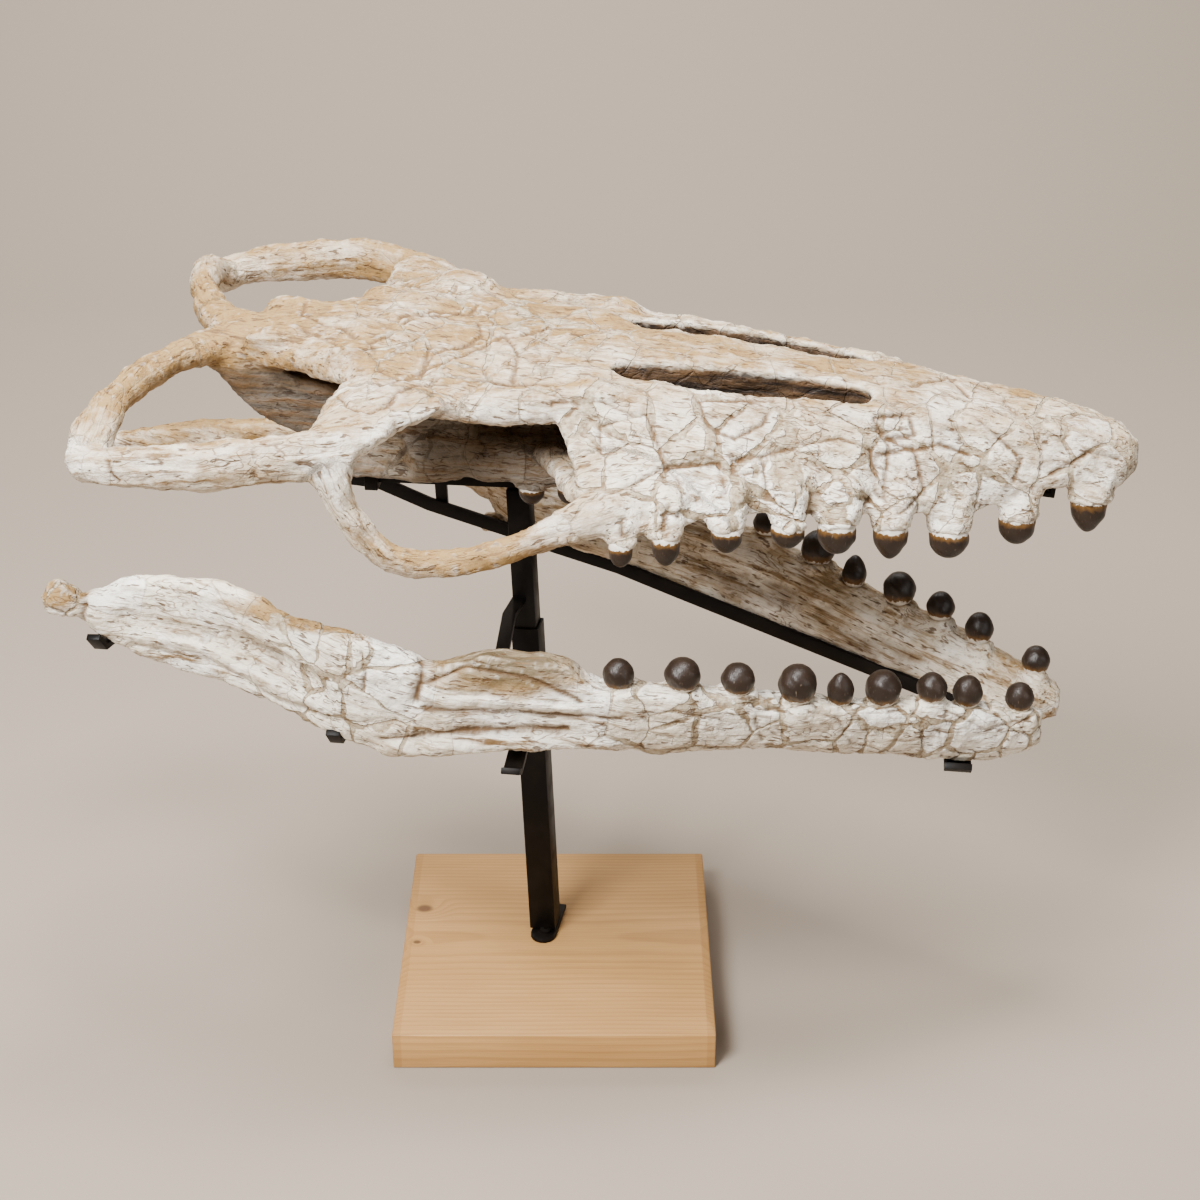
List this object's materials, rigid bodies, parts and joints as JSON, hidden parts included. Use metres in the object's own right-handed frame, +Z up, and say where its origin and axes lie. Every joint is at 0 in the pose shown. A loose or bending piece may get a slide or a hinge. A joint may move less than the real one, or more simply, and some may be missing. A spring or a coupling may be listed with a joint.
{
  "type": "mounted fossil mosasaur skull",
  "caption": "Cracked fossil reptile skull with open jaws, held off a square wooden base by a bent black steel armature and post, for display.",
  "frame": {"origin": "middle of the wooden base's underside", "axes": "+X toward the snout, along the base's front edge; +Y toward the skull's left side, away from the shown side; +Z up"},
  "size_m": [0.9501, 0.4936, 0.6805],
  "materials": {
    "fossil_bone": "matte",
    "tooth_enamel": "satin",
    "black_painted_steel": "satin",
    "pine": "satin"
  },
  "bodies": {
    "root": {"base_block": "pine", "foot_plate": "black_painted_steel", "hook_left_middle": "black_painted_steel", "hook_left_rear": "black_painted_steel", "hook_right_centre": "black_painted_steel", "hook_right_front": "black_painted_steel", "hook_right_middle": "black_painted_steel", "hook_right_rear": "black_painted_steel", "jaw_arm_left": "black_painted_steel", "jaw_arm_right": "black_painted_steel", "jaw_left": "fossil_bone", "jaw_rail_left": "black_painted_steel", "jaw_rail_right": "black_painted_steel", "jaw_right": "fossil_bone", "lower_post": "black_painted_steel", "lower_tooth_left_1": "tooth_enamel", "lower_tooth_left_2": "tooth_enamel", "lower_tooth_left_3": "tooth_enamel", "lower_tooth_left_4": "tooth_enamel", "lower_tooth_left_5": "tooth_enamel", "lower_tooth_left_6": "tooth_enamel", "lower_tooth_left_7": "tooth_enamel", "lower_tooth_left_8": "tooth_enamel", "lower_tooth_left_9": "tooth_enamel", "lower_tooth_right_1": "tooth_enamel", "lower_tooth_right_2": "tooth_enamel", "lower_tooth_right_3": "tooth_enamel", "lower_tooth_right_4": "tooth_enamel", "lower_tooth_right_5": "tooth_enamel", "lower_tooth_right_6": "tooth_enamel", "lower_tooth_right_7": "tooth_enamel", "lower_tooth_right_8": "tooth_enamel", "lower_tooth_right_9": "tooth_enamel", "palate_rail": "black_painted_steel", "palate_tooth_left_1": "tooth_enamel", "palate_tooth_left_2": "tooth_enamel", "palate_tooth_right_1": "tooth_enamel", "palate_tooth_right_2": "tooth_enamel", "rail_clamp": "black_painted_steel", "skull": "fossil_bone", "skull_rail": "black_painted_steel", "upper_post": "black_painted_steel", "upper_tooth_left_1": "tooth_enamel", "upper_tooth_left_2": "tooth_enamel", "upper_tooth_left_3": "tooth_enamel", "upper_tooth_left_4": "tooth_enamel", "upper_tooth_left_5": "tooth_enamel", "upper_tooth_left_6": "tooth_enamel", "upper_tooth_left_7": "tooth_enamel", "upper_tooth_left_8": "tooth_enamel", "upper_tooth_left_9": "tooth_enamel", "upper_tooth_right_1": "tooth_enamel", "upper_tooth_right_2": "tooth_enamel", "upper_tooth_right_3": "tooth_enamel", "upper_tooth_right_4": "tooth_enamel", "upper_tooth_right_5": "tooth_enamel", "upper_tooth_right_6": "tooth_enamel", "upper_tooth_right_7": "tooth_enamel", "upper_tooth_right_8": "tooth_enamel", "upper_tooth_right_9": "tooth_enamel"}
  },
  "joints": []
}
